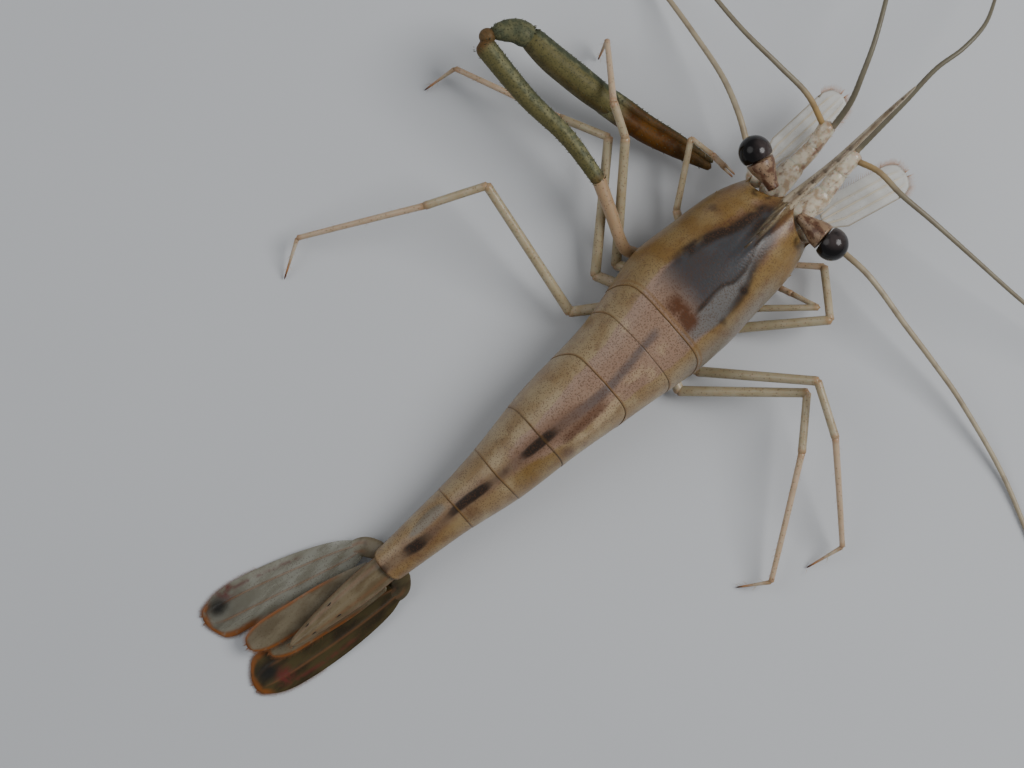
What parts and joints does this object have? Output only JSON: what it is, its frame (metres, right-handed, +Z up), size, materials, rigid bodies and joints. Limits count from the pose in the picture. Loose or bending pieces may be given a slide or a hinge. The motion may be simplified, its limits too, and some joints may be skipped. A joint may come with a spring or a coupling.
{
  "type": "amazon river prawn",
  "caption": "Life-size amazon river prawn at rest on its underside, with a long green left claw, curved feelers, jointed legs and a spread tail fan.",
  "frame": {"origin": "middle of the small flat under the thorax, on the floor the animal rests on", "axes": "+Y to the head, +X to the animal's right, +Z up away from the floor"},
  "size_m": [0.159, 0.1438, 0.0222],
  "materials": {
    "shell": "translucent brown shell with fine speckles, slightly wet",
    "clear": "pale, nearly clear shell",
    "limb": "beige to pale orange limb shell",
    "feeler": "olive to grey-brown thin feeler",
    "green": "rough olive-green claw shell",
    "cornea": "glossy black eye",
    "fan": "thin see-through tail blade with orange margin"
  },
  "bodies": {
    "root": {"carapace": "shell", "rostrum": "shell", "abdomen_1": "shell", "abdomen_2": "shell", "abdomen_3": "shell", "abdomen_4": "shell", "abdomen_5": "shell", "abdomen_6": "shell", "eyestalk_left": "shell", "eyestalk_right": "shell", "antenna_base_left": "shell", "antenna_base_right": "shell", "thorax_underside": "clear", "antennule_peduncle_left": "clear", "antennule_peduncle_right": "clear", "antennal_scale_left": "clear", "antennal_scale_right": "clear", "pleopod_1_left": "clear", "pleopod_1_right": "clear", "pleopod_2_left": "clear", "pleopod_2_right": "clear", "pleopod_3_left": "clear", "pleopod_3_right": "clear", "pleopod_4_left": "clear", "pleopod_4_right": "clear", "pleopod_5_left": "clear", "pleopod_5_right": "clear", "leg_1_left": "limb", "leg_1_right": "limb", "leg_3_left": "limb", "leg_3_right": "limb", "leg_4_left": "limb", "leg_4_right": "limb", "leg_5_left": "limb", "leg_5_right": "limb", "leg_2_right": "limb", "cheliped_left_arm": "limb", "maxilliped_left": "limb", "maxilliped_right": "limb", "antennule_outer_left_flagellum": "feeler", "antennule_inner_left_flagellum": "feeler", "antennule_outer_right_flagellum": "feeler", "antennule_inner_right_flagellum": "feeler", "antenna_left_flagellum": "feeler", "antenna_right_flagellum": "feeler", "cheliped_left_carpus": "green", "cheliped_left_palm": "green", "cheliped_left_finger": "green", "cornea_left": "cornea", "cornea_right": "cornea", "telson": "fan", "uropod_exopod_left": "fan", "uropod_exopod_right": "fan", "uropod_endopod_left": "fan", "uropod_endopod_right": "fan"}
  },
  "joints": []
}
